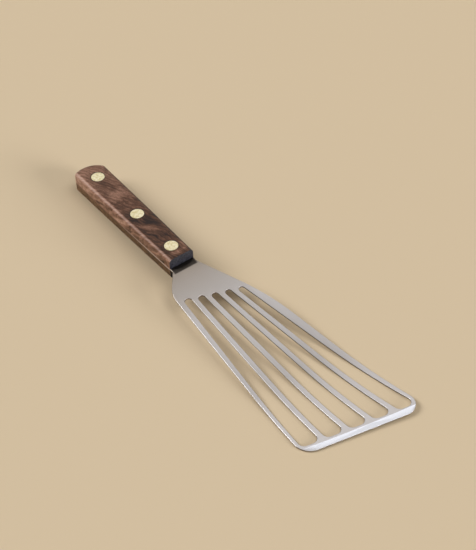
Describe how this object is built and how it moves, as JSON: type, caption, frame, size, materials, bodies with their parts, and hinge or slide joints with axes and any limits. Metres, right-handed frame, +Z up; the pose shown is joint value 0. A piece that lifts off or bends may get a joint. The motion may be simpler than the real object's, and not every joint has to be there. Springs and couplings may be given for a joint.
{
  "type": "fish spatula",
  "caption": "Slotted stainless fish turner with a curved, bevelled asymmetric blade, full tang, two riveted walnut scales and flush brass cutlery rivets.",
  "frame": {"origin": "centre of the bounding box in plan, on the surface that the turner rests on", "axes": "+X from the butt of the handle to the tip of the blade, +Z up out of the resting surface, +Y to the left of +X, towards the blade's longer side"},
  "size_m": [0.265, 0.0718, 0.0198],
  "materials": {
    "blade_steel": "satin, brushed along the blade, with a bright ground bevel at the tip",
    "walnut": "dark figured walnut, sanded and oiled",
    "rivet_brass": "ground flush with the scales and buffed"
  },
  "bodies": {
    "root": {"blade": "blade_steel", "upper_scale": "walnut", "lower_scale": "walnut", "front_rivet_post": "rivet_brass", "front_rivet_sleeve": "rivet_brass", "middle_rivet_post": "rivet_brass", "middle_rivet_sleeve": "rivet_brass", "rear_rivet_post": "rivet_brass", "rear_rivet_sleeve": "rivet_brass"}
  },
  "joints": []
}
